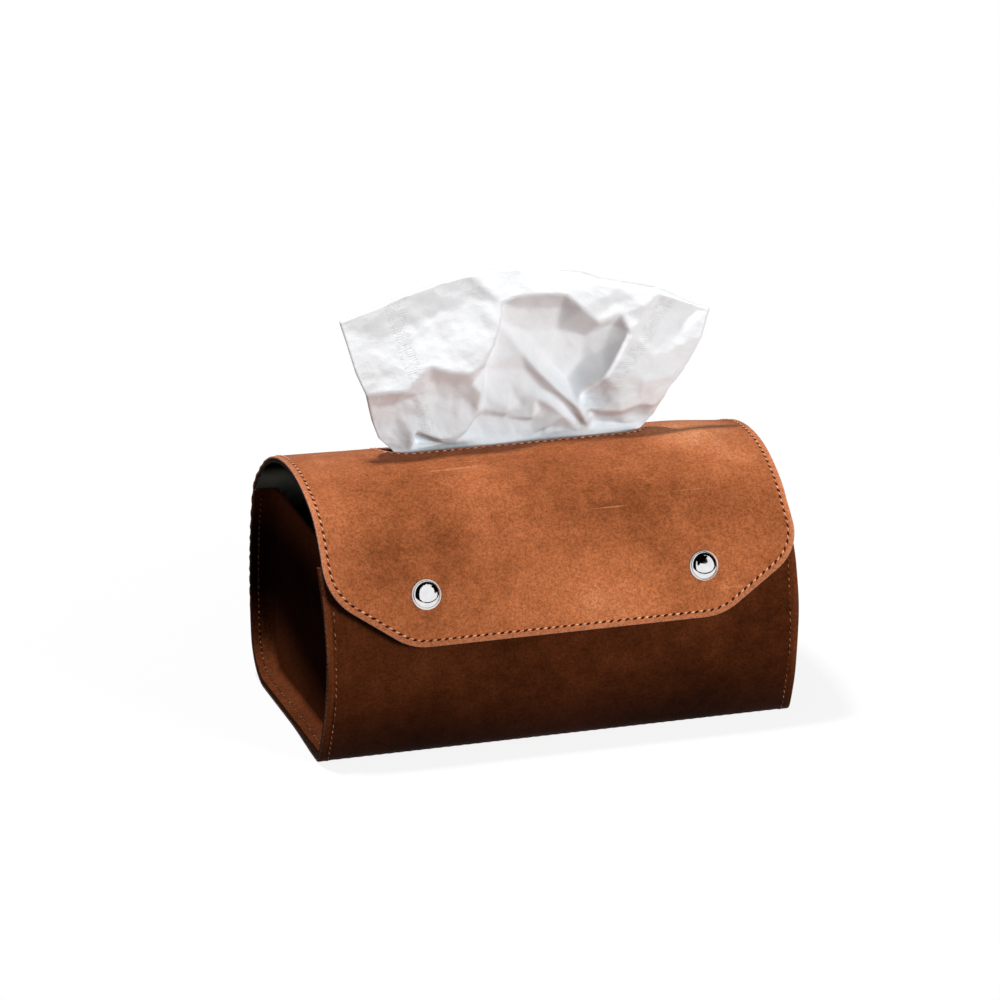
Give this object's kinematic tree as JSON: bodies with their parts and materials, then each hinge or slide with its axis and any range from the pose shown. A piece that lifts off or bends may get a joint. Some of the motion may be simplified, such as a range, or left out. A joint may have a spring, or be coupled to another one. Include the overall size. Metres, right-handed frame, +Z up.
{
  "type": "leather tissue box cover",
  "caption": "Free-standing leather tissue box cover with an arched slotted lid, a front flap on press studs, open bowed ends and a pulled tissue.",
  "frame": {"origin": "bottom centre of the bounding box, on the surface the box stands on", "axes": "+X along the width to the right seen from the front, -Y to the front with the flap, +Z up"},
  "size_m": [0.22, 0.139, 0.204],
  "materials": {
    "lid_leather": "matte pull-up leather, orange brown",
    "tray_leather": "matte pull-up leather, dark brown",
    "gusset_leather": "matte leather, very dark brown",
    "lining": "dark stiffened lining",
    "stud_chrome": "polished",
    "spring_steel": "drawn wire",
    "tissue_paper": "soft white two-ply tissue"
  },
  "bodies": {
    "tray": {"tray_outer": "tray_leather", "tray_lining": "lining", "left_gusset": "gusset_leather", "right_gusset": "gusset_leather", "snap_post_left": "stud_chrome", "snap_post_right": "stud_chrome", "snap_stud_left": "stud_chrome", "snap_stud_right": "stud_chrome", "tissue_stack": "tissue_paper"},
    "lid": {"lid_outer": "lid_leather", "lid_lining": "lining"},
    "front_flap": {"flap_outer": "lid_leather", "flap_lining": "lining", "snap_cap_left": "stud_chrome", "snap_cap_right": "stud_chrome", "snap_socket_left": "stud_chrome", "snap_socket_right": "stud_chrome", "socket_spring_left": "spring_steel", "socket_spring_right": "spring_steel"},
    "tissue": {"pulled_tissue": "tissue_paper"}
  },
  "joints": [
    {"name": "lid_hinge", "type": "hinge", "parent": "tray", "child": "lid", "pos_m": [0, 0.06063, 0.09419], "axis": [-1, 0, 0], "range_deg": [0, 110]},
    {"name": "flap_bend", "type": "hinge", "parent": "lid", "child": "front_flap", "pos_m": [0, -0.05344, 0.10131], "axis": [-1, 0, 0], "range_deg": [0, 100]},
    {"name": "tissue_pull", "type": "slide", "parent": "lid", "child": "tissue", "axis": [0, 0, 1], "range_m": [0, 0.08]}
  ]
}
